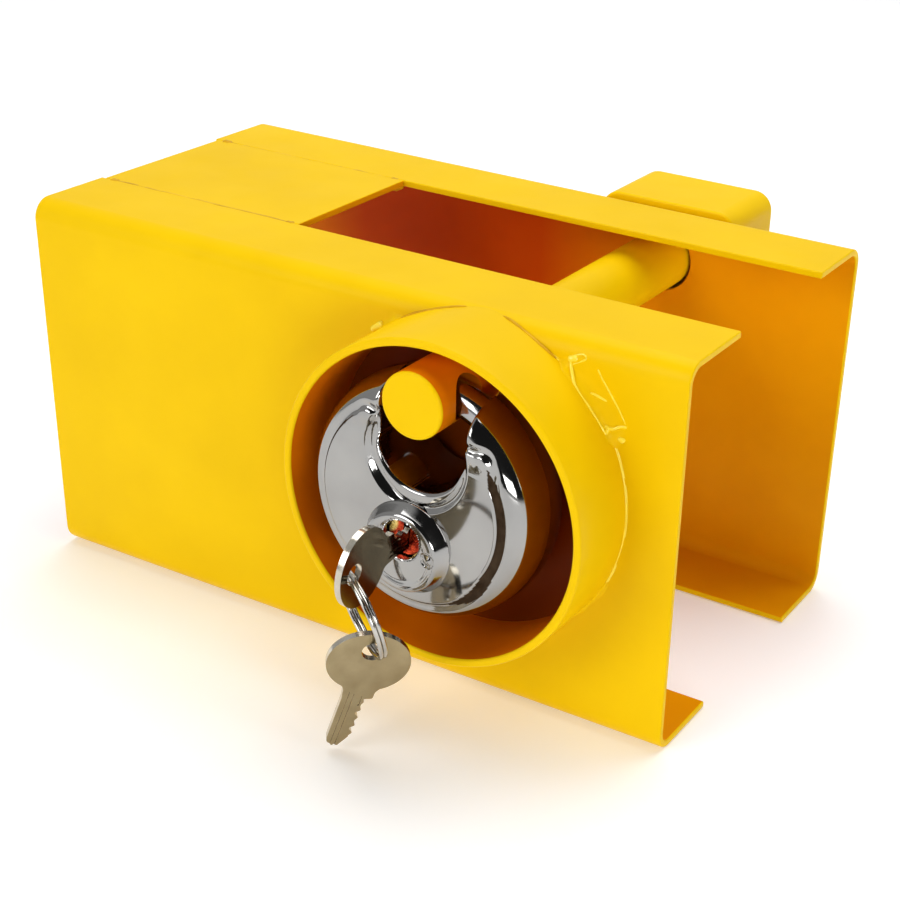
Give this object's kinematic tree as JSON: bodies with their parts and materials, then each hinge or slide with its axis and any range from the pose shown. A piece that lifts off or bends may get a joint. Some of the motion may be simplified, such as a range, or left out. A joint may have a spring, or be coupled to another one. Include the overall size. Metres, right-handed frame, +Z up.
{
  "type": "trailer coupler lock",
  "caption": "Yellow steel box that slides over a trailer coupler and is held by a cross pin, with a round shroud guarding a stainless disc padlock.",
  "frame": {"origin": "on the rest plane, below the middle of the whole object's outline", "axes": "+X towards the open end that goes over the coupler, -Y the padlock side, +Z up"},
  "size_m": [0.218, 0.2006, 0.1159],
  "materials": {
    "yellow_paint": "gloss",
    "polished_steel": "polished stainless",
    "zinc_casting": "as cast",
    "hardened_steel": "polished",
    "brass": "machined",
    "dark_steel": "blackened",
    "spring_steel": "drawn wire",
    "nickel_silver": "satin",
    "nickel_wire": "nickel plated"
  },
  "bodies": {
    "housing": {"near_channel": "yellow_paint", "far_channel": "yellow_paint", "top_plate": "yellow_paint", "near_seam_weld": "yellow_paint", "far_seam_weld": "yellow_paint", "shroud_tube": "yellow_paint", "shroud_weld": "yellow_paint"},
    "pin": {"lock_pin": "yellow_paint", "head_tube": "yellow_paint", "head_cap": "yellow_paint", "head_weld": "yellow_paint"},
    "padlock": {"front_shell": "polished_steel", "rear_shell": "polished_steel", "front_core": "zinc_casting", "rear_core": "zinc_casting", "lock_boss": "polished_steel", "cylinder_housing": "brass", "chamber_cover": "dark_steel", "driver_pins": "brass", "pin_springs": "spring_steel"},
    "shackle": {"shackle": "hardened_steel"},
    "plug": {"plug": "brass", "key_pins": "brass", "drive_cam": "zinc_casting", "cam_screw": "dark_steel"},
    "key": {"inserted_key": "nickel_silver"},
    "ring": {"key_ring": "nickel_wire"},
    "spare": {"spare_key": "nickel_silver"}
  },
  "joints": [
    {"name": "pin_slide", "type": "slide", "parent": "housing", "child": "pin", "axis": [0, 1, 0], "range_m": [0, 0.0015]},
    {"name": "padlock_swing", "type": "hinge", "parent": "pin", "child": "padlock", "pos_m": [0.0452, -0.05645, 0.0984], "axis": [-1, 0, 0], "range_deg": [0, 45]},
    {"name": "key_turn", "type": "hinge", "parent": "padlock", "child": "plug", "pos_m": [0.04432, -0.05645, 0.06145], "axis": [0, 1, 0], "range_deg": [0, 98.4]},
    {"name": "shackle_turn", "type": "hinge", "parent": "padlock", "child": "shackle", "pos_m": [0.0452, -0.05645, 0.0698], "axis": [0, 1, 0], "range_deg": [0, 64]},
    {"name": "key_pull", "type": "slide", "parent": "plug", "child": "key", "axis": [0, -1, 0], "range_m": [0, 0.025]},
    {"name": "ring_swing", "type": "hinge", "parent": "key", "child": "ring", "pos_m": [0.04432, -0.09435, 0.06145], "axis": [-0.9945, 0, 0.1045], "range_deg": [-10, 60]},
    {"name": "spare_swing", "type": "hinge", "parent": "ring", "child": "spare", "pos_m": [0.04562, -0.08773, 0.03676], "axis": [0.8457, -0.5219, -0.1115], "range_deg": [-25, 25]}
  ],
  "couplings": [
    {"joint": "shackle_turn", "follows": "key_turn", "ratio": 0.65}
  ]
}
